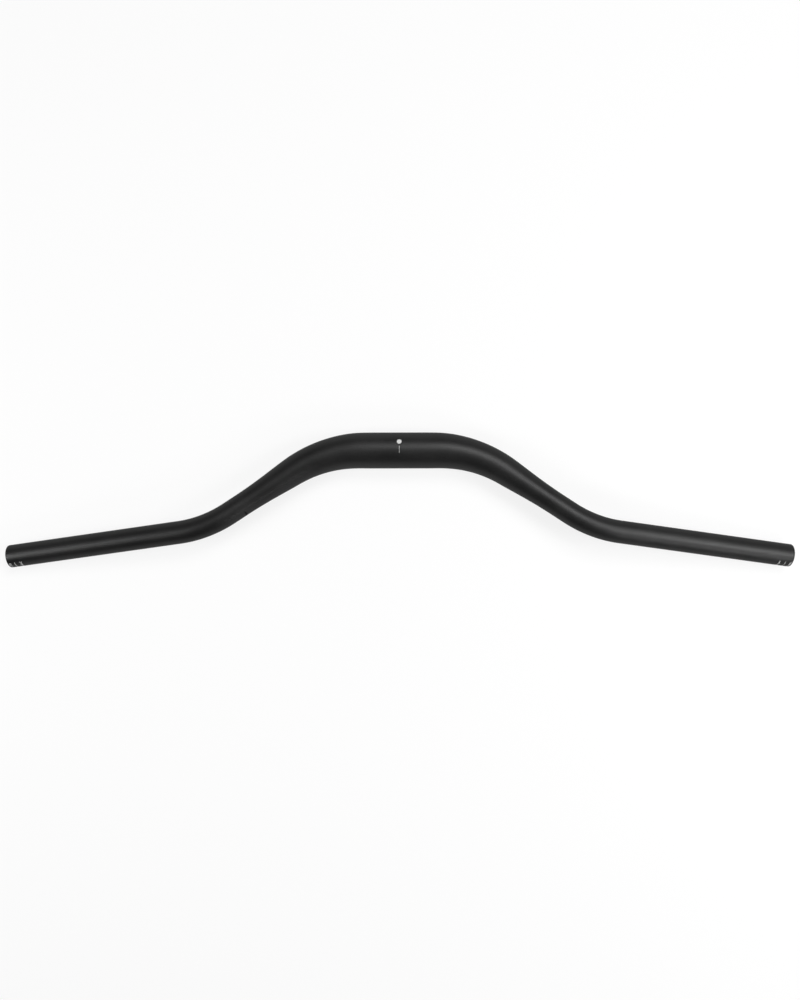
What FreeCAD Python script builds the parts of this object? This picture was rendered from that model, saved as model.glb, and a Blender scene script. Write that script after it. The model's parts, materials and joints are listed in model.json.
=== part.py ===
import FreeCAD, Part
import math
import os

# Touring handlebar: one bent, tapered and hollow aluminium tube, in millimetres and degrees.
# Its sizes are stated as it is ridden: X to the rider's right, Y forward, Z up.
# It is then laid down as it comes to rest on a table, on the clamp zone and both end rims.
# The origin stays in the middle of the clamp zone, on the tube's axis.

# Diameter of the tube at the stem clamp, at the step between its two tapers, and at the grips
clamp_diameter = 35.0
step_diameter = 28.0
grip_diameter = 22.2

# Wall thickness at the same three places
clamp_wall = 2.5
step_wall = 2.25
grip_wall = 2.0

# Width over both ends, and height of the outer bends' corners above the clamp axis
overall_width = 770.0
rise = 74.0

# Where the straight axes meet, measured from the middle of the bar to the side
inner_corner = 72.6
outer_corner = 186.5

# Sweep of rise and grip to the rear, and climb of the grip to the outside
backsweep = 9.0
upsweep = 5.0

# Radii of the two bends on each side, on the tube's axis
inner_bend_radius = 123.0
outer_bend_radius = 108.0

# Corners of the taper by distance along the axis, and the half length that rounds each one off
taper_start = 40.0
taper_start_blend = 14.0
taper_step = 110.0
taper_step_blend = 10.0
taper_end = 150.0
taper_end_blend = 18.0

# Rounded outer edge and broken inner edge of each end
end_round = 1.0
end_break = 0.4


class Straight:
    """Straight run of the tube's axis."""

    def __init__(self, start, direction, length):
        self.start = start
        self.direction = direction
        self.length = length

    def at(self, s):
        """Point and direction at s along the run."""
        return self.start + self.direction * s, self.direction

    def bar(self, s0, s1, diameter):
        """Solid bar of one diameter from s0 to s1."""
        return Part.makeCylinder(diameter / 2, s1 - s0, self.at(s0)[0], self.direction)


class Bend:
    """Run of the tube's axis that turns at one radius about a corner."""

    def __init__(self, corner, direction, onward, radius):
        self.radius = radius
        self.turn = direction.getAngle(onward)
        self.length = radius * self.turn
        self.tangent = radius * math.tan(self.turn / 2)
        self.direction = direction
        self.side = (onward - direction * math.cos(self.turn)) / math.sin(self.turn)
        self.hub = corner - direction * self.tangent + self.side * radius
        self.hinge = direction.cross(self.side)

    def at(self, s):
        """Point and direction at s along the run."""
        a = s / self.radius
        spoke = self.direction * math.sin(a) - self.side * math.cos(a)
        return self.hub + spoke * self.radius, self.direction * math.cos(a) + self.side * math.sin(a)

    def bar(self, s0, s1, diameter):
        """Solid bar of one diameter from s0 to s1."""
        point, direction = self.at(s0)
        disc = Part.Face(Part.Wire(Part.makeCircle(diameter / 2, point, direction)))
        return disc.revolve(self.hub, self.hinge, math.degrees((s1 - s0) / self.radius))


def swept(climb):
    """Direction that climbs by an angle in the upright plane of the backsweep."""
    back = math.radians(backsweep)
    level = math.cos(climb)
    return FreeCAD.Vector(level * math.cos(back), -level * math.sin(back), math.sin(climb))


# Directions and corners of the right half's axis
middle = FreeCAD.Vector(0, 0, 0)
along = FreeCAD.Vector(1, 0, 0)
level_run = (outer_corner - inner_corner) / math.cos(math.radians(backsweep))
rising = swept(math.atan2(rise, level_run))
outward = swept(math.radians(upsweep))
corner_a = along * inner_corner
corner_b = corner_a + rising * (rise / rising.z)

# The rounded rim of the end, not its axis, reaches the overall width
rim_radius = grip_diameter / 2 - end_round
rim_x = overall_width / 2 - end_round - rim_radius * math.sqrt(1 - outward.x ** 2)
rim_centre = corner_b + outward * ((rim_x - corner_b.x) / outward.x)
end = rim_centre + outward * end_round

# Axis of the right half: clamp zone, inner bend, rise, outer bend and grip
inner_bend = Bend(corner_a, along, rising, inner_bend_radius)
outer_bend = Bend(corner_b, rising, outward, outer_bend_radius)
rise_start = corner_a + rising * inner_bend.tangent
rise_length = (corner_b - corner_a).Length - inner_bend.tangent - outer_bend.tangent
grip_start = corner_b + outward * outer_bend.tangent
clamp_zone = Straight(middle, along, inner_corner - inner_bend.tangent)
riser = Straight(rise_start, rising, rise_length)
grip = Straight(grip_start, outward, (end - grip_start).Length)
runs = [clamp_zone, inner_bend, riser, outer_bend, grip]
full_length = sum(run.length for run in runs)

# Where the tube leaves its clamp size, and where it has come down to its grip size
clamp_until = taper_start - taper_start_blend
grip_from = taper_end + taper_end_blend


def place(s):
    """Point on the axis and direction of the axis at s from the middle."""
    for run in runs[:-1]:
        if s <= run.length:
            return run.at(s)
        s -= run.length
    return runs[-1].at(s)


def plain_bars(s0, s1, diameter):
    """Solid bars of one diameter that follow the axis from s0 to s1."""
    bars = []
    for run in runs:
        first = max(s0, 0)
        last = min(s1, run.length)
        if last > first:
            bars.append(run.bar(first, last, diameter))
        s0 -= run.length
        s1 -= run.length
    return bars


def ramp(distance, blend):
    """Nothing before a corner, the distance after it, and a parabola between."""
    if distance <= -blend:
        return 0.0
    if distance >= blend:
        return distance
    return (distance + blend) ** 2 / (4 * blend)


def tapered(s, clamp, step, grip):
    """Diameter at s: the clamp's, then two cones with rounded corners, then the grip's."""
    first = (step - clamp) / (taper_step - taper_start)
    second = (grip - step) / (taper_end - taper_step)
    shrink = first * ramp(s - taper_start, taper_start_blend)
    shrink += (second - first) * ramp(s - taper_step, taper_step_blend)
    shrink -= second * ramp(s - taper_end, taper_end_blend)
    return clamp + shrink


def section(s, diameter):
    """Circle square to the axis at s, with its seam kept on one side of the bar."""
    point, direction = place(s)
    turned = FreeCAD.Rotation(inner_bend.hinge, direction.cross(inner_bend.hinge), direction, "ZXY")
    circle = Part.Wire(Part.makeCircle(diameter / 2))
    circle.Placement = FreeCAD.Placement(point, turned)
    return circle


def right_half(clamp, step, grip):
    """Solid right half of the bar with the three given diameters."""
    length = grip_from - clamp_until
    count = math.ceil(length / (grip / 4))
    places = [clamp_until + length * i / count for i in range(count + 1)]
    taper = Part.makeLoft([section(s, tapered(s, clamp, step, grip)) for s in places], True)
    bars = plain_bars(0, clamp_until, clamp) + [taper] + plain_bars(grip_from, full_length, grip)
    return bars[0].fuse(bars[1:]).removeSplitter()


def end_edge(shape, diameter):
    """Edge of the given diameter at the right end."""
    for edge in shape.Edges:
        circle = edge.Curve
        if isinstance(circle, Part.Circle) and circle.Center.isEqual(end, 0.01):
            if abs(2 * circle.Radius - diameter) < 0.01:
                return edge


# Tube wall of the right half, with the edges of its end broken
bore_diameter = grip_diameter - 2 * grip_wall
outside = right_half(clamp_diameter, step_diameter, grip_diameter)
inside = right_half(clamp_diameter - 2 * clamp_wall, step_diameter - 2 * step_wall, bore_diameter)
half = outside.cut(inside)
half = half.makeFillet(end_round, [end_edge(half, grip_diameter)])
half = half.makeChamfer(end_break, [end_edge(half, bore_diameter)])
tube = half.fuse(half.mirror(middle, along)).removeSplitter()


def clearance(angle):
    """Height of the end rim over the lowest line of the clamp zone, once turned about X."""
    height = rim_centre.y * math.sin(angle) + rim_centre.z * math.cos(angle)
    dip = outward.y * math.sin(angle) + outward.z * math.cos(angle)
    return height - rim_radius * math.sqrt(1 - dip ** 2) - end_round + clamp_diameter / 2


# Turned forward about the clamp axis until both end rims come down to the table
upright = 0.0
lying = math.pi / 2
for halving in range(50):
    between = (upright + lying) / 2
    if clearance(between) > 0:
        upright = between
    else:
        lying = between
tube.rotate(middle, along, math.degrees(lying))

os.makedirs("parts", exist_ok=True)
tube.exportStep("parts/handlebar_tube.step")
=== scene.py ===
import bpy
import json
from math import cos, hypot, radians, sin
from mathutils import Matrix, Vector


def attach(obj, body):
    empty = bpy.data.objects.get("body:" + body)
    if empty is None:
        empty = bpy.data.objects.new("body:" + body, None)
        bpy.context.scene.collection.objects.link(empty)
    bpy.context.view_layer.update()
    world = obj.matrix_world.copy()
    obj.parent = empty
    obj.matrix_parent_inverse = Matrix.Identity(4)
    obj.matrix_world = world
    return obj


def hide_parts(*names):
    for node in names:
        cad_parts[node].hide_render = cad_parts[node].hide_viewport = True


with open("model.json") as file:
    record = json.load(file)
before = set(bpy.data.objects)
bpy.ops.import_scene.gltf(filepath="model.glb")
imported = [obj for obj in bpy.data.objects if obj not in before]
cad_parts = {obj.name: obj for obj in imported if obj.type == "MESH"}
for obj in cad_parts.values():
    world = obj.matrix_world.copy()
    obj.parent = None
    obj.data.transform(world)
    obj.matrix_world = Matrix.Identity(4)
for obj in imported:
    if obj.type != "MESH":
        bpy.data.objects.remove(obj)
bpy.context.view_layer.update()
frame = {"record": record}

# Handlebar tube
# One aluminium tube, tapered in two stages from the stem clamp to the grips and bent twice on each side.
# It is blasted and anodised black, open at both ends, and lies on its clamp zone and its two end rims.

MM = 0.001
bar_sizes = {
    "Clamp Diameter": 35.0 * MM,
    "Step Diameter": 28.0 * MM,
    "Grip Diameter": 22.2 * MM,
    "Clamp Wall": 2.5 * MM,
    "Step Wall": 2.25 * MM,
    "Grip Wall": 2.0 * MM,
    "Taper Start": 40.0 * MM,
    "Taper Start Blend": 14.0 * MM,
    "Taper Step": 110.0 * MM,
    "Taper Step Blend": 10.0 * MM,
    "Taper End": 150.0 * MM,
    "Taper End Blend": 18.0 * MM,
    "End Round": 1.0 * MM,
    "End Break": 0.4 * MM,
}
bend_radii = {
    "Inner Bend Radius": 123.0 * MM,
    "Outer Bend Radius": 108.0 * MM,
}

# How finely the mesh follows the tube: along its axis and bends, round it, along its wall, on its rims
axis_spacing = 2.0 * MM
arc_points = 40
around_the_tube = 96
outside_spacing = 2.5 * MM
bore_spacing = 5.0 * MM
round_points = 6
break_points = 1

# Width over both ends, and where the straight axes meet, measured from the middle of the bar to the side
overall_width = 770.0 * MM
inner_corner = 72.6 * MM
outer_corner = 186.5 * MM

# Line of the right grip, as the frame has it
grip_mount = next(mount for mount in frame["record"]["mounts"] if mount["name"] == "right_grip")
grip_middle = Vector(grip_mount["pos_m"])
grip_direction = Vector(grip_mount["axis"])


def on_grip_line(to_the_side):
    """Point on the line of the right grip, by its distance to the side of the bar's middle."""
    return grip_middle + grip_direction * ((to_the_side - grip_middle.x) / grip_direction.x)


# Corners of the axis: clamp zone to rise, rise to grip, and the end, whose rounded rim makes the width
end_round = bar_sizes["End Round"]
rim_radius = 0.5 * bar_sizes["Grip Diameter"] - end_round
rim_slant = hypot(grip_direction.y, grip_direction.z)
rim_middle = on_grip_line(0.5 * overall_width - end_round - rim_radius * rim_slant)
right_corners = [
    Vector((inner_corner, 0.0, 0.0)),
    on_grip_line(outer_corner),
    rim_middle + grip_direction * end_round,
]
left_corners = [Vector((-corner.x, corner.y, corner.z)) for corner in reversed(right_corners)]
axis_corners = left_corners + right_corners


class Wiring:
    """Short ways to add nodes to a tree, join them and do sums with them."""

    def __init__(self, tree):
        self.tree = tree

    def join(self, value, socket):
        """Wires an output to a socket, or sets the socket to a plain value."""
        if isinstance(value, bpy.types.NodeSocket):
            self.tree.links.new(value, socket)
        else:
            socket.default_value = value

    def add(self, kind, wires=None, **settings):
        """A new node, with its settings made and its sockets wired."""
        node = self.tree.nodes.new(kind)
        for setting, value in settings.items():
            setattr(node, setting, value)
        for socket, value in (wires or {}).items():
            self.join(value, node.inputs[socket])
        return node

    def math(self, operation, *values):
        """A sum on numbers."""
        return self.add("ShaderNodeMath", dict(enumerate(values)), operation=operation).outputs[0]

    def vectors(self, operation, values):
        """The results of a sum on vectors."""
        return self.add("ShaderNodeVectorMath", dict(enumerate(values)), operation=operation).outputs

    def vector(self, operation, *values):
        """A sum on vectors that gives a vector."""
        return self.vectors(operation, values)["Vector"]

    def measure(self, operation, *values):
        """A sum on vectors that gives a number."""
        return self.vectors(operation, values)["Value"]

    def times(self, vector, factor):
        """A vector made longer or shorter."""
        node = self.add("ShaderNodeVectorMath", {"Vector": vector, "Scale": factor}, operation="SCALE")
        return node.outputs["Vector"]

    def combined(self, x, y, z):
        """A vector from its parts."""
        return self.add("ShaderNodeCombineXYZ", {"X": x, "Y": y, "Z": z}).outputs["Vector"]

    def parts(self, vector):
        """The parts of a vector."""
        return self.add("ShaderNodeSeparateXYZ", {"Vector": vector}).outputs

    def chosen(self, choice, otherwise, value):
        """One number where the choice is 0, another where it is 1."""
        return self.math("MULTIPLY_ADD", choice, self.math("SUBTRACT", value, otherwise), otherwise)

    def position(self):
        """Where each point is."""
        return self.add("GeometryNodeInputPosition").outputs["Position"]

    def moved(self, geometry, **wires):
        """A geometry with its points set to new places, or offset."""
        return self.add("GeometryNodeSetPosition", {"Geometry": geometry, **wires}).outputs["Geometry"]

    def stored(self, geometry, name, value, kind="FLOAT"):
        """A geometry that keeps a value at each of its points under a name."""
        wires = {"Geometry": geometry, "Name": name, "Value": value}
        return self.add("GeometryNodeStoreNamedAttribute", wires, data_type=kind).outputs["Geometry"]

    def length(self, curve):
        """Length of a curve."""
        return self.add("GeometryNodeCurveLength", {"Curve": curve}).outputs["Length"]

    def realized(self, geometry):
        """A geometry with its instances made real."""
        return self.add("GeometryNodeRealizeInstances", {"Geometry": geometry}).outputs["Geometry"]

    def coated(self, geometry, material, where=True):
        """A geometry with a material on it, or on a part of it."""
        wires = {"Geometry": geometry, "Selection": where, "Material": material}
        return self.add("GeometryNodeSetMaterial", wires).outputs["Geometry"]

    def use(self, group, wires):
        """Another group placed in this tree."""
        kind = "GeometryNodeGroup" if self.tree.type == "GEOMETRY" else "ShaderNodeGroup"
        return self.add(kind, wires, node_tree=group.tree).outputs


class Group(Wiring):
    """A node group with named inputs and outputs."""

    def __init__(self, name, kind, inputs, outputs):
        super().__init__(bpy.data.node_groups.new(name, kind))
        for label, socket in inputs.items():
            self.tree.interface.new_socket(label, in_out="INPUT", socket_type="NodeSocket" + socket)
        for label, socket in outputs.items():
            self.tree.interface.new_socket(label, in_out="OUTPUT", socket_type="NodeSocket" + socket)
        self.given = self.add("NodeGroupInput").outputs
        self.result = self.add("NodeGroupOutput").inputs

    def passed_on(self, labels):
        """Inputs of this group, by their names, for a group inside it."""
        return {label: self.given[label] for label in labels}

    def put_out(self, label, value):
        """Wires a result to a named output."""
        self.join(value, self.result[label])


GEOMETRY = "GeometryNodeTree"
SHADER = "ShaderNodeTree"

# Axis of the bar: the chain of corners with its bends rounded, the outer bends at their own radius
axis_inputs = {"Corners": "Geometry", **dict.fromkeys(bend_radii, "Float")}
axis = Group("bar_axis", GEOMETRY, axis_inputs, {"Axis": "Geometry"})
chain = axis.add("GeometryNodeMeshToCurve", {"Mesh": axis.given["Corners"]}).outputs["Curve"]
corner_number = axis.add("GeometryNodeInputIndex").outputs["Index"]
middle_number = (len(axis_corners) - 1) / 2
from_middle = axis.math("ABSOLUTE", axis.math("SUBTRACT", corner_number, middle_number))
is_outer = axis.math("GREATER_THAN", from_middle, 1.0)
bend_radius = axis.chosen(is_outer, axis.given["Inner Bend Radius"], axis.given["Outer Bend Radius"])
rounding = {"Curve": chain, "Count": arc_points, "Radius": bend_radius}
rounded = axis.add("GeometryNodeFilletCurve", rounding, mode="POLY").outputs["Curve"]
evening = {"Curve": rounded, "Length": axis_spacing}
evened = axis.add("GeometryNodeResampleCurve", evening, mode="LENGTH").outputs["Curve"]
axis.put_out("Axis", evened)

# Bending: what is made straight, with Z along the bar, Y up and X level across it, follows the axis
up = (0.0, 0.0, 1.0)
bending_inputs = {"Straight": "Geometry", "Axis": "Geometry"}
bending = Group("along_the_bar", GEOMETRY, bending_inputs, {"Bent": "Geometry"})
straight = bending.parts(bending.position())
from_left_end = bending.math("MULTIPLY_ADD", bending.length(bending.given["Axis"]), 0.5, straight["Z"])
sampling = {"Curves": bending.given["Axis"], "Length": from_left_end}
here = bending.add("GeometryNodeSampleCurve", sampling, mode="LENGTH").outputs
onward = bending.vector("NORMALIZE", here["Tangent"])
lean = bending.times(onward, bending.measure("DOT_PRODUCT", onward, up))
upward = bending.vector("NORMALIZE", bending.vector("SUBTRACT", up, lean))
level = bending.vector("CROSS_PRODUCT", upward, onward)
raised = bending.times(upward, straight["Y"])
sideways = bending.vector("ADD", bending.times(level, straight["X"]), raised)
bent_place = bending.vector("ADD", here["Position"], sideways)
bending.put_out("Bent", bending.moved(bending.given["Straight"], Position=bent_place))

# Softening: smooth shading up to an angle, sharp edges past it
soft_limit = radians(30)
softening = Group("soft_faces", GEOMETRY, {"Geometry": "Geometry"}, {"Geometry": "Geometry"})
edge_angle = softening.add("GeometryNodeInputMeshEdgeAngle").outputs["Unsigned Angle"]
is_soft = softening.math("LESS_THAN", edge_angle, soft_limit)
plain_faces = {"Geometry": softening.given["Geometry"]}
soft = softening.add("GeometryNodeSetShadeSmooth", plain_faces, domain="FACE").outputs["Geometry"]
creases = {"Geometry": soft, "Shade Smooth": is_soft}
creased = softening.add("GeometryNodeSetShadeSmooth", creases, domain="EDGE").outputs["Geometry"]
softening.put_out("Geometry", creased)

# Ramp: nothing before a corner of the taper, the distance after it, and a parabola between
ramp = Group("taper_ramp", GEOMETRY, {"Distance": "Float", "Blend": "Float"}, {"Value": "Float"})
distance = ramp.given["Distance"]
blend = ramp.given["Blend"]
begun = ramp.math("MAXIMUM", ramp.math("ADD", distance, blend), 0.0)
within = ramp.math("MINIMUM", begun, ramp.math("MULTIPLY", blend, 2.0))
curved = ramp.math("DIVIDE", ramp.math("POWER", within, 2.0), ramp.math("MULTIPLY", blend, 4.0))
past = ramp.math("MAXIMUM", ramp.math("SUBTRACT", distance, blend), 0.0)
ramp.put_out("Value", ramp.math("ADD", curved, past))

# Taper: the clamp's size, then two cones with rounded corners, then the grip's size
taper_places = [size for size in bar_sizes if size.startswith("Taper")]
taper_inputs = ["Along", "Clamp", "Step", "Grip"] + taper_places
taper = Group("two_stage_taper", GEOMETRY, dict.fromkeys(taper_inputs, "Float"), {"Size": "Float"})


def slope(first_size, last_size, first_place, last_place):
    """Change of size for each length along the bar."""
    change = taper.math("SUBTRACT", taper.given[last_size], taper.given[first_size])
    run_length = taper.math("SUBTRACT", taper.given[last_place], taper.given[first_place])
    return taper.math("DIVIDE", change, run_length)


def ramped(place):
    """Distance past a corner of the taper, rounded off."""
    past_corner = taper.math("SUBTRACT", taper.given["Along"], taper.given[place])
    return taper.use(ramp, {"Distance": past_corner, "Blend": taper.given[place + " Blend"]})["Value"]


first_slope = slope("Clamp", "Step", "Taper Start", "Taper Step")
second_slope = slope("Step", "Grip", "Taper Step", "Taper End")
steeper = taper.math("SUBTRACT", second_slope, first_slope)
size = taper.math("MULTIPLY_ADD", first_slope, ramped("Taper Start"), taper.given["Clamp"])
size = taper.math("MULTIPLY_ADD", steeper, ramped("Taper Step"), size)
size = taper.math("SUBTRACT", size, taper.math("MULTIPLY", second_slope, ramped("Taper End")))
taper.put_out("Size", size)

# Tube: the wall's section at the grips, turned round into a straight tube, swelled by the taper and bent
tube_inputs = {"Corners": "Geometry", **dict.fromkeys([*bar_sizes, *bend_radii], "Float")}
tube_inputs.update({"Outside": "Material", "Bore": "Material"})
tube = Group("bar_tube", GEOMETRY, tube_inputs, {"Geometry": "Geometry"})
tube_axis = tube.use(axis, tube.passed_on(axis_inputs))["Axis"]
half_length = tube.math("MULTIPLY", tube.length(tube_axis), 0.5)
other_half = tube.math("MULTIPLY", half_length, -1.0)
grip_wall = tube.given["Grip Wall"]
bore_radius = tube.math("SUBTRACT", tube.math("MULTIPLY", tube.given["Grip Diameter"], 0.5), grip_wall)
section_corners = {
    "Point 1": tube.combined(0.0, half_length, 0.0),
    "Point 2": tube.combined(grip_wall, half_length, 0.0),
    "Point 3": tube.combined(grip_wall, other_half, 0.0),
    "Point 4": tube.combined(0.0, other_half, 0.0),
}
section = tube.add("GeometryNodeCurvePrimitiveQuadrilateral", section_corners, mode="POINTS")
half_wall = tube.math("MULTIPLY", grip_wall, 0.5)
on_outside = tube.math("GREATER_THAN", tube.parts(tube.position())["X"], half_wall)
edging = {
    "Curve": section.outputs["Curve"],
    "Count": tube.chosen(on_outside, float(break_points), float(round_points)),
    "Radius": tube.chosen(on_outside, tube.given["End Break"], tube.given["End Round"]),
}
edged = tube.add("GeometryNodeFilletCurve", edging, mode="POLY").outputs["Curve"]
next_point = tube.add("GeometryNodeOffsetPointInCurve", {"Offset": 1}).outputs["Point Index"]
looking_on = {"Value": tube.position(), "Index": next_point}
next_place = tube.add("GeometryNodeFieldAtIndex", looking_on, data_type="FLOAT_VECTOR").outputs["Value"]
run = tube.measure("DISTANCE", tube.position(), next_place)
row_spacing = tube.chosen(on_outside, bore_spacing, outside_spacing)
rows = tube.math("FLOOR", tube.math("DIVIDE", run, row_spacing))
rowed = tube.add("GeometryNodeSubdivideCurve", {"Curve": edged, "Cuts": rows}).outputs["Curve"]
circling = {"Resolution": around_the_tube, "Radius": bore_radius}
bore_circle = tube.add("GeometryNodeCurvePrimitiveCircle", circling).outputs["Curve"]
revolving = {"Curve": bore_circle, "Profile Curve": rowed}
revolved = tube.add("GeometryNodeCurveToMesh", revolving).outputs["Mesh"]
turned = tube.add("GeometryNodeFlipFaces", {"Mesh": revolved}).outputs["Mesh"]
place = tube.parts(tube.position())
spoke = tube.combined(place["X"], place["Y"], 0.0)
depth = tube.math("SUBTRACT", tube.measure("LENGTH", spoke), bore_radius)
through_wall = tube.math("DIVIDE", depth, grip_wall)
along = tube.math("ABSOLUTE", place["Z"])


def swelling(walls_taken_off):
    """How much larger the radius is here than at the grip, with some walls taken off the diameter."""
    sizes = {}
    for zone in ("Clamp", "Step", "Grip"):
        walls = tube.math("MULTIPLY", tube.given[zone + " Wall"], -walls_taken_off)
        sizes[zone] = tube.math("ADD", tube.given[zone + " Diameter"], walls)
    here_size = tube.use(taper, {"Along": along, **sizes, **tube.passed_on(taper_places)})["Size"]
    return tube.math("MULTIPLY", tube.math("SUBTRACT", here_size, sizes["Grip"]), 0.5)


swell = tube.chosen(through_wall, swelling(2.0), swelling(0.0))
outward = tube.times(tube.vector("NORMALIZE", spoke), swell)
marked = tube.stored(turned, "through_wall", through_wall)
tapered = tube.moved(marked, Offset=outward)
marked = tube.stored(tapered, "straight", tube.position(), "FLOAT_VECTOR")
marked = tube.stored(marked, "from_end", tube.math("SUBTRACT", half_length, along))
shaped = tube.use(bending, {"Straight": marked, "Axis": tube_axis})["Bent"]
smooth = tube.use(softening, {"Geometry": shaped})["Geometry"]
wall_share = tube.add("GeometryNodeInputNamedAttribute", {"Name": "through_wall"}).outputs["Attribute"]
bore_share = 0.05
in_bore = tube.math("LESS_THAN", wall_share, bore_share)
coated = tube.coated(tube.realized(smooth), tube.given["Outside"])
tube.put_out("Geometry", tube.coated(coated, tube.given["Bore"], in_bore))

# Fine grain of the blasted surface, and the slight clouding of the dye over its length
grain_details = {"Grain": 2.0, "Cloud": 3.0}
grain_inputs = {"Where": "Vector", "Grain Size": "Float", "Cloud Size": "Float"}
grain = Group("blasted_grain", SHADER, grain_inputs, dict.fromkeys(grain_details, "Float"))
for feature, detail in grain_details.items():
    per_length = grain.math("DIVIDE", 1.0, grain.given[feature + " Size"])
    speckle = {"Vector": grain.given["Where"], "Scale": per_length, "Detail": detail}
    grain.put_out(feature, grain.add("ShaderNodeTexNoise", speckle).outputs["Fac"])

# Range that the noise fills, and places of the Mix node's colours among its sockets of every kind
noise_low = 0.3
noise_high = 0.7
first_colour = 6
second_colour = 7
mixed_colour = 2


def new_finish(name):
    """A material with its shader ready, and the wiring of its tree."""
    material = bpy.data.materials.new(name)
    material.use_nodes = True
    return material, Wiring(material.node_tree), material.node_tree.nodes["Principled BSDF"].inputs


def toned(finish, factor, low, high):
    """A colour between two, by a number from 0 to 1."""
    node = finish.add("ShaderNodeMix", data_type="RGBA")
    finish.join(factor, node.inputs["Factor"])
    finish.join(low, node.inputs[first_colour])
    finish.join(high, node.inputs[second_colour])
    return node.outputs[mixed_colour]


def ranged(finish, value, low, high, to_low, to_high):
    """A number moved from one range to another, and kept inside it."""
    wires = {"Value": value, "From Min": low, "From Max": high, "To Min": to_low, "To Max": to_high}
    return finish.add("ShaderNodeMapRange", wires).outputs["Result"]


def spread(finish, noise, low=0.0, high=1.0):
    """Noise spread over a range of its own."""
    return ranged(finish, noise, noise_low, noise_high, low, high)


def roughened(finish, shader, height, strength, depth):
    """Gives a shader fine relief, by its height."""
    relief = finish.add("ShaderNodeBump", {"Height": height, "Strength": strength, "Distance": depth})
    finish.join(relief.outputs["Normal"], shader["Normal"])


# Outside: blasted and dyed black, with turned rings on both end rims and a rubbed mark across one bend.
# The end rims are also coloured darker, as painted shade on their rounded lip.
dark_dye = (0.037, 0.037, 0.037, 1.0)
light_dye = (0.043, 0.043, 0.043, 1.0)
# Colour of the rubbed mark, and painted shade on the rounded lip of both end rims
rub_dye_and_rim_shade = (0.018, 0.018, 0.018, 1.0)
flank_tint = (0.65, 0.65, 0.65, 1.0)
pit_shade = 0.8
peak_shade = 1.2
blasted_roughness = [0.46, 0.50]
turned_roughness = 0.42
rubbed_roughness = 0.73
grain_size = 0.35 * MM
grain_depth = 0.05 * MM
grain_strength = 0.6
cloud_size = 30.0 * MM
ring_pitch = 0.09 * MM
edge_full = 0.91 * MM
edge_width = 1.3 * MM
rub_along = -166.9 * MM
rub_turn = radians(-58)
rub_length = 9.0 * MM
rub_width = 2.6 * MM
anodised, finish, shader = new_finish("blasted_black")
where = finish.add("ShaderNodeAttribute", attribute_name="straight").outputs["Vector"]
from_end = finish.add("ShaderNodeAttribute", attribute_name="from_end").outputs["Fac"]
surface = finish.use(grain, {"Where": where, "Grain Size": grain_size, "Cloud Size": cloud_size})
at_edge = ranged(finish, from_end, edge_full, edge_width, 1.0, 0.0)
rub_spoke = Vector((sin(rub_turn), cos(rub_turn), 0.0))
rub_middle = rub_spoke * 0.5 * bar_sizes["Grip Diameter"] + Vector((0.0, 0.0, rub_along))
from_rub = finish.vector("SUBTRACT", where, tuple(rub_middle))
narrowed = finish.vector("MULTIPLY", from_rub, (1.0, 1.0, rub_length / rub_width))
rub_reach = 0.5 * rub_length
rubbed = ranged(finish, finish.measure("LENGTH", narrowed), 0.5 * rub_reach, rub_reach, 1.0, 0.0)
dye = toned(finish, spread(finish, surface["Cloud"]), dark_dye, light_dye)
dye = finish.times(dye, spread(finish, surface["Grain"], pit_shade, peak_shade))
# Darker colour at the rubbed mark, and painted shade on the end rims
dye = toned(finish, finish.math("MAXIMUM", at_edge, rubbed), dye, rub_dye_and_rim_shade)
finish.join(dye, shader["Base Color"])
matte = spread(finish, surface["Cloud"], *blasted_roughness)
matte = finish.chosen(rubbed, matte, rubbed_roughness)
matte = finish.chosen(at_edge, matte, turned_roughness)
finish.join(matte, shader["Roughness"])
shader["Metallic"].default_value = 1.0
shader["Specular Tint"].default_value = flank_tint
off_axis = finish.measure("LENGTH", finish.vector("MULTIPLY", where, (1.0, 1.0, 0.0)))
ringing = {"W": finish.math("SUBTRACT", off_axis, from_end), "Scale": 1.0 / ring_pitch}
rings = finish.add("ShaderNodeTexNoise", ringing, noise_dimensions="1D").outputs["Fac"]
roughened(finish, shader, finish.chosen(at_edge, surface["Grain"], rings), grain_strength, grain_depth)

# Bore: left as drawn, with fine lines along the tube, and dyed with the rest
dark_line = (0.016, 0.016, 0.016, 1.0)
light_line = (0.050, 0.050, 0.050, 1.0)
line_width = 0.5 * MM
line_band = 4.0 * MM
line_stretch = 0.01
line_depth = 0.05 * MM
line_strength = 0.5
drawn_roughness = [0.30, 0.45]
drawn, finish, shader = new_finish("drawn_bore")
where = finish.add("ShaderNodeAttribute", attribute_name="straight").outputs["Vector"]
stretched = finish.vector("MULTIPLY", where, (1.0, 1.0, line_stretch))
lines = finish.use(grain, {"Where": stretched, "Grain Size": line_width, "Cloud Size": line_band})
finish.join(toned(finish, spread(finish, lines["Grain"]), dark_line, light_line), shader["Base Color"])
finish.join(spread(finish, lines["Cloud"], *drawn_roughness), shader["Roughness"])
shader["Metallic"].default_value = 1.0
shader["Specular Tint"].default_value = flank_tint
roughened(finish, shader, lines["Grain"], line_strength, line_depth)


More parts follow.
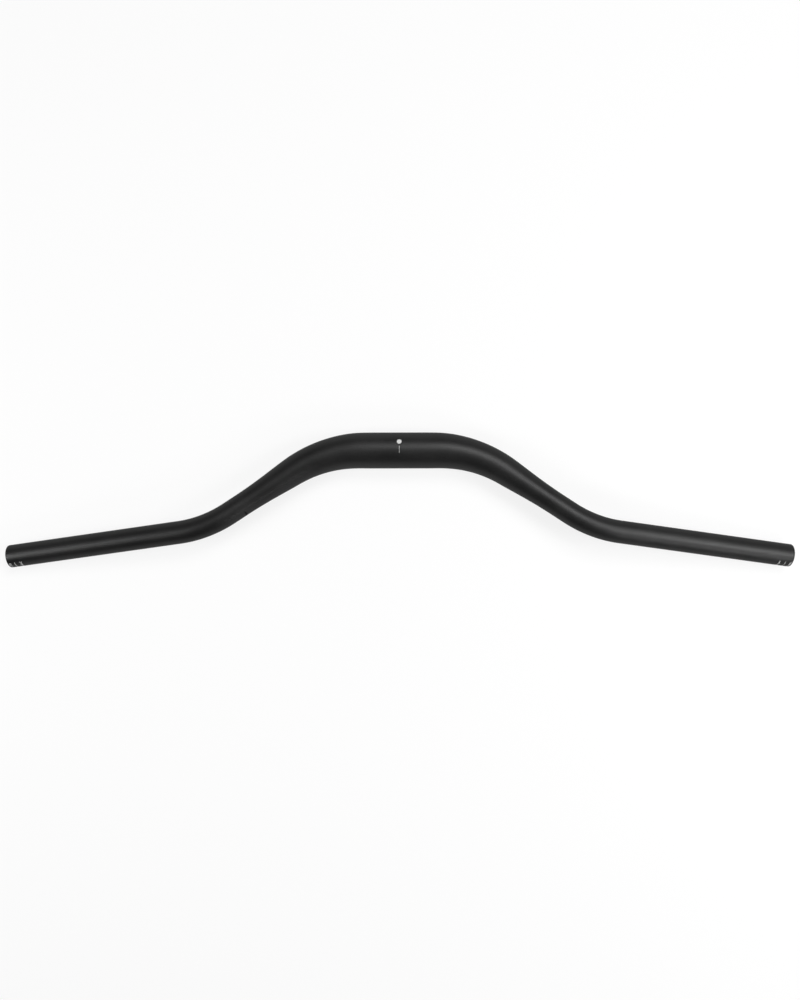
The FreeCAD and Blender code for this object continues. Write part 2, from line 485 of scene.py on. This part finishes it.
def made_piece(name, group, values):
    """A piece made by a node group from the bar's corners, as a plain mesh at the origin."""
    chain_mesh = bpy.data.meshes.new(name)
    chain_mesh.from_pydata(axis_corners, [(i, i + 1) for i in range(len(axis_corners) - 1)], [])
    piece = bpy.data.objects.new(name, chain_mesh)
    bpy.context.scene.collection.objects.link(piece)
    making = piece.modifiers.new("making", "NODES")
    making.node_group = group.tree
    for socket in group.tree.interface.items_tree:
        if socket.in_out == "INPUT" and socket.name in values:
            making[socket.identifier] = values[socket.name]
    depsgraph = bpy.context.evaluated_depsgraph_get()
    shape = bpy.data.meshes.new_from_object(
        piece.evaluated_get(depsgraph), preserve_all_data_layers=True, depsgraph=depsgraph
    )
    for number in reversed(range(len(shape.materials))):
        if shape.materials[number] is None:
            shape.materials.pop(index=number)
    piece.modifiers.clear()
    piece.data = shape
    shape.name = name
    return piece


bar = made_piece("bar_tube", tube, {**bar_sizes, **bend_radii, "Outside": anodised, "Bore": drawn})
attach(bar, "root")
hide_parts("handlebar_tube")

# Trim marks
# White print on both grip ends: the bar's width after a cut there, and a tick between the two figures.
# It is pad printed over the anodising, on the side that is on top when the bar is ridden.

ink_sizes = {
    "Ink Height": 0.04 * MM,
    "Ink Depth": 0.03 * MM,
}
trim_sizes = {
    "Figure Size": 3.3 * MM,
    "Tick Length": 11.0 * MM,
    "Tick Width": 0.35 * MM,
}
figure_places = [2.5 * MM, 13.5 * MM]
tick_place = 7.5 * MM
tick_points = 13
trim_turn = radians(-60.5)

# Ink: flat shapes given a thickness and closed, a little above and below the surface
merge_distance = 0.001 * MM
ink_inputs = {"Faces": "Geometry", **dict.fromkeys(ink_sizes, "Float")}
ink = Group("ink_layer", GEOMETRY, ink_inputs, {"Ink": "Geometry"})
finer = ink.add("GeometryNodeSubdivideMesh", {"Mesh": ink.given["Faces"], "Level": 1}).outputs["Mesh"]
below = ink.math("MULTIPLY", ink.given["Ink Depth"], -1.0)
sunk = ink.moved(finer, Offset=ink.combined(0.0, 0.0, below))
thickness = ink.math("ADD", ink.given["Ink Height"], ink.given["Ink Depth"])
thickening = {"Mesh": sunk, "Offset": up, "Offset Scale": thickness, "Individual": False}
layer = ink.add("GeometryNodeJoinGeometry")
ink.join(ink.add("GeometryNodeExtrudeMesh", thickening).outputs["Mesh"], layer.inputs["Geometry"])
ink.join(ink.add("GeometryNodeFlipFaces", {"Mesh": sunk}).outputs["Mesh"], layer.inputs["Geometry"])
closing = {"Geometry": layer.outputs["Geometry"], "Distance": merge_distance}
ink.put_out("Ink", ink.add("GeometryNodeMergeByDistance", closing).outputs["Geometry"])

# Printing: flat ink, X round the bar and Y to its middle, wrapped on the tube and bent with it
printing_inputs = {"Ink": "Geometry", "Axis": "Geometry"}
printing_inputs.update(dict.fromkeys(["Radius", "Turn", "Along", "Side"], "Float"))
printing = Group("printed_on_the_bar", GEOMETRY, printing_inputs, {"Printed": "Geometry"})
radius = printing.given["Radius"]
side = printing.given["Side"]
flat = printing.parts(printing.position())
wrapped = printing.math("DIVIDE", printing.math("MULTIPLY", flat["X"], side), radius)
angle = printing.math("ADD", printing.given["Turn"], wrapped)
reach = printing.math("ADD", radius, flat["Z"])
inward = printing.math("SUBTRACT", printing.given["Along"], flat["Y"])
on_tube = printing.combined(
    printing.math("MULTIPLY", reach, printing.math("SINE", angle)),
    printing.math("MULTIPLY", reach, printing.math("COSINE", angle)),
    printing.math("MULTIPLY", inward, side),
)
placed = printing.moved(printing.given["Ink"], Position=on_tube)
printed = printing.use(bending, {"Straight": placed, "Axis": printing.given["Axis"]})["Bent"]
printing.put_out("Printed", printing.use(softening, {"Geometry": printed})["Geometry"])

# Marks: two figures and a tick, laid flat from the end, then printed on both ends
trim_inputs = {"Corners": "Geometry", "Print": "Material"}
trim_inputs.update(dict.fromkeys(["Grip Diameter", *ink_sizes, *trim_sizes, *bend_radii], "Float"))
trim = Group("trim_marks", GEOMETRY, trim_inputs, {"Geometry": "Geometry"})
trim_axis = trim.use(axis, trim.passed_on(axis_inputs))["Axis"]
flat_marks = trim.add("GeometryNodeJoinGeometry")


def laid(mark, from_end):
    """Adds a flat mark at a distance from the end."""
    shifting = {"Geometry": mark, "Translation": (0.0, from_end, 0.0)}
    shifted = trim.add("GeometryNodeTransform", shifting).outputs["Geometry"]
    trim.join(shifted, flat_marks.inputs["Geometry"])


for figure_place in figure_places:
    words = f"{round((overall_width - 2 * figure_place) / MM)} mm"
    writing = {"String": words, "Size": trim.given["Figure Size"]}
    written = trim.add("GeometryNodeStringToCurves", writing, align_x="CENTER", align_y="MIDDLE")
    outlines = {"Curve": trim.realized(written.outputs["Curve Instances"])}
    laid(trim.add("GeometryNodeFillCurve", outlines, mode="TRIANGLES").outputs["Mesh"], figure_place)
ticking = {"Size X": trim.given["Tick Length"], "Size Y": trim.given["Tick Width"]}
ticking.update({"Vertices X": tick_points, "Vertices Y": 2})
laid(trim.add("GeometryNodeMeshGrid", ticking).outputs["Mesh"], tick_place)
trim_ink = trim.use(ink, {"Faces": flat_marks.outputs["Geometry"], **trim.passed_on(ink_sizes)})["Ink"]
both_ends = trim.add("GeometryNodeJoinGeometry")
for end_side in (1.0, -1.0):
    end_marks = trim.use(printing, {
        "Ink": trim_ink,
        "Axis": trim_axis,
        "Radius": trim.math("MULTIPLY", trim.given["Grip Diameter"], 0.5),
        "Turn": trim_turn,
        "Along": trim.math("MULTIPLY", trim.length(trim_axis), 0.5),
        "Side": end_side,
    })["Printed"]
    trim.join(end_marks, both_ends.inputs["Geometry"])
trim_faces = trim.realized(both_ends.outputs["Geometry"])
trim.put_out("Geometry", trim.coated(trim_faces, trim.given["Print"]))

# Print: off-white ink, thin where the grain of the blasted surface stands up
worn_ink = (0.54, 0.54, 0.53, 1.0)
full_ink = (0.70, 0.70, 0.69, 1.0)
full_until = 0.35
worn_from = 0.6
ink_cloud = 6.0 * MM
ink_roughness = [0.5, 0.65]
ink_strength = 0.15
white_print, finish, shader = new_finish("white_print")
where = finish.add("ShaderNodeTexCoord").outputs["Object"]
surface = finish.use(grain, {"Where": where, "Grain Size": grain_size, "Cloud Size": ink_cloud})
cover = ranged(finish, surface["Grain"], full_until, worn_from, 1.0, 0.0)
finish.join(toned(finish, cover, worn_ink, full_ink), shader["Base Color"])
finish.join(spread(finish, surface["Cloud"], *ink_roughness), shader["Roughness"])
roughened(finish, shader, surface["Grain"], ink_strength, grain_depth)

trim_values = {**ink_sizes, **trim_sizes, **bend_radii, "Print": white_print}
trim_values["Grip Diameter"] = bar_sizes["Grip Diameter"]
trim_marks = made_piece("trim_marks", trim, trim_values)
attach(trim_marks, "root")

# Centre mark
# White print in the middle of the clamp zone, for setting the bar square in its stem.
# It is a plain dot over a fine line, pad printed with the trim marks.
# It is on the side that faces forward when the bar is ridden.

centre_sizes = {
    "Dot Diameter": 4.6 * MM,
    "Line Length": 6.8 * MM,
    "Line Width": 0.3 * MM,
}
dot_points = 48
line_points = 9
dot_turn = radians(30)
line_turn = radians(4)

centre_inputs = {"Corners": "Geometry", "Print": "Material"}
centre_inputs.update(dict.fromkeys(["Clamp Diameter", *ink_sizes, *centre_sizes, *bend_radii], "Float"))
centre = Group("centre_mark", GEOMETRY, centre_inputs, {"Geometry": "Geometry"})
centre_axis = centre.use(axis, centre.passed_on(axis_inputs))["Axis"]
dotting = {"Vertices": dot_points, "Radius": centre.math("MULTIPLY", centre.given["Dot Diameter"], 0.5)}
dot = centre.add("GeometryNodeMeshCircle", dotting, fill_type="TRIANGLE_FAN").outputs["Mesh"]
lining = {"Size X": centre.given["Line Length"], "Size Y": centre.given["Line Width"]}
lining.update({"Vertices X": line_points, "Vertices Y": 2})
line = centre.add("GeometryNodeMeshGrid", lining).outputs["Mesh"]
both_marks = centre.add("GeometryNodeJoinGeometry")
for faces, turn in ((dot, dot_turn), (line, line_turn)):
    mark = centre.use(printing, {
        "Ink": centre.use(ink, {"Faces": faces, **centre.passed_on(ink_sizes)})["Ink"],
        "Axis": centre_axis,
        "Radius": centre.math("MULTIPLY", centre.given["Clamp Diameter"], 0.5),
        "Turn": turn,
        "Along": 0.0,
        "Side": 1.0,
    })["Printed"]
    centre.join(mark, both_marks.inputs["Geometry"])
centre_faces = centre.realized(both_marks.outputs["Geometry"])
centre.put_out("Geometry", centre.coated(centre_faces, centre.given["Print"]))

centre_values = {**ink_sizes, **centre_sizes, **bend_radii, "Print": white_print}
centre_values["Clamp Diameter"] = bar_sizes["Clamp Diameter"]
centre_mark = made_piece("centre_mark", centre, centre_values)
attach(centre_mark, "root")

# Floor
# A plain pale table top, on which the bar lies, painted matt.
# It is seen as nearly white, by the eye and in reflections, and keeps a faint shadow.

floor_gap = 0.01 * MM
floor_height = -0.5 * bar_sizes["Clamp Diameter"] - floor_gap
floor_reach = 12.0
floor_paint = (0.86, 0.86, 0.86, 1.0)
floor_roughness = 0.9
white = (1.0, 1.0, 1.0, 1.0)
white_share = 0.8
pale, finish, shader = new_finish("pale_floor")
shader["Base Color"].default_value = floor_paint
shader["Roughness"].default_value = floor_roughness
shader["Specular IOR Level"].default_value = 0.0
path = finish.add("ShaderNodeLightPath").outputs
seen = finish.math("MAXIMUM", path["Is Camera Ray"], path["Is Glossy Ray"])
seen = finish.math("MAXIMUM", seen, path["Is Transmission Ray"])
glow = finish.add("ShaderNodeEmission", {"Color": white, "Strength": 1.0}).outputs["Emission"]
mixed = finish.add("ShaderNodeMixShader", {0: finish.math("MULTIPLY", seen, white_share)})
finish.join(finish.tree.nodes["Principled BSDF"].outputs["BSDF"], mixed.inputs[1])
finish.join(glow, mixed.inputs[2])
finish.join(mixed.outputs["Shader"], finish.tree.nodes["Material Output"].inputs["Surface"])
floor_corners = ((-1, -1), (1, -1), (1, 1), (-1, 1))
floor_points = [(x * floor_reach, y * floor_reach, floor_height) for x, y in floor_corners]
floor_mesh = bpy.data.meshes.new("floor")
floor_mesh.from_pydata(floor_points, [], [(0, 1, 2, 3)])
floor_mesh.materials.append(pale)
floor = bpy.data.objects.new("floor", floor_mesh)
bpy.context.scene.collection.objects.link(floor)

# Studio light
# Four soft square lamps over the bar: at its right and left, beyond the clamp zone and before the grips.
# The walls of the room are pale all round, and its ceiling is dim.

# Place, width and power of each lamp, and the point that all of them face
lamps = {
    "right_softbox": ((0.83, -0.07, 0.83), 0.395, 6.1),
    "far_softbox": ((0.57, 1.11, 2.00), 0.86, 27.5),
    "left_softbox": ((-1.00, -0.14, 0.80), 0.43, 6.2),
    "near_softbox": ((0.88, -0.88, 0.84), 0.37, 4.4),
}
aim = Vector((0.0, -0.05, 0.0))
for name, (lamp_place, width, power) in lamps.items():
    lamp = bpy.data.lights.new(name, "AREA")
    lamp.shape = "SQUARE"
    lamp.size = width
    lamp.energy = power
    stand = bpy.data.objects.new(name, lamp)
    stand.location = lamp_place
    stand.rotation_euler = (Vector(lamp_place) - aim).to_track_quat("Z", "Y").to_euler()
    bpy.context.scene.collection.objects.link(stand)

# Tones of the room, and where the wall ends and the ceiling begins, by the upward part of the direction
wall = (0.80, 0.80, 0.80, 1.0)
ceiling = (0.06, 0.06, 0.06, 1.0)
wall_until = 0.1
ceiling_from = 0.3
room = bpy.data.worlds.new("studio")
room.use_nodes = True
bpy.context.scene.world = room
walls = Wiring(room.node_tree)
direction = walls.parts(walls.add("ShaderNodeTexCoord").outputs["Generated"])
overhead = ranged(walls, direction["Z"], wall_until, ceiling_from, 0.0, 1.0)
walls.join(toned(walls, overhead, wall, ceiling), room.node_tree.nodes["Background"].inputs["Color"])

# Camera
# It looks almost straight down on the bar from about a metre above the table.
# The clamp zone lies a little above the middle of the picture, and both ends near its sides.

camera = bpy.data.cameras.new("camera")
camera.lens = 38.884
camera.sensor_width = 36.0
camera.clip_end = 100.0
view = bpy.data.objects.new("camera", camera)
view.location = (0.005008, 0.008098, 1.05106)
view.rotation_euler = (radians(-3.0664), radians(0.2363), radians(-0.0948))
bpy.context.scene.collection.objects.link(view)
bpy.context.scene.camera = view
bpy.context.scene.view_settings.view_transform = "Standard"
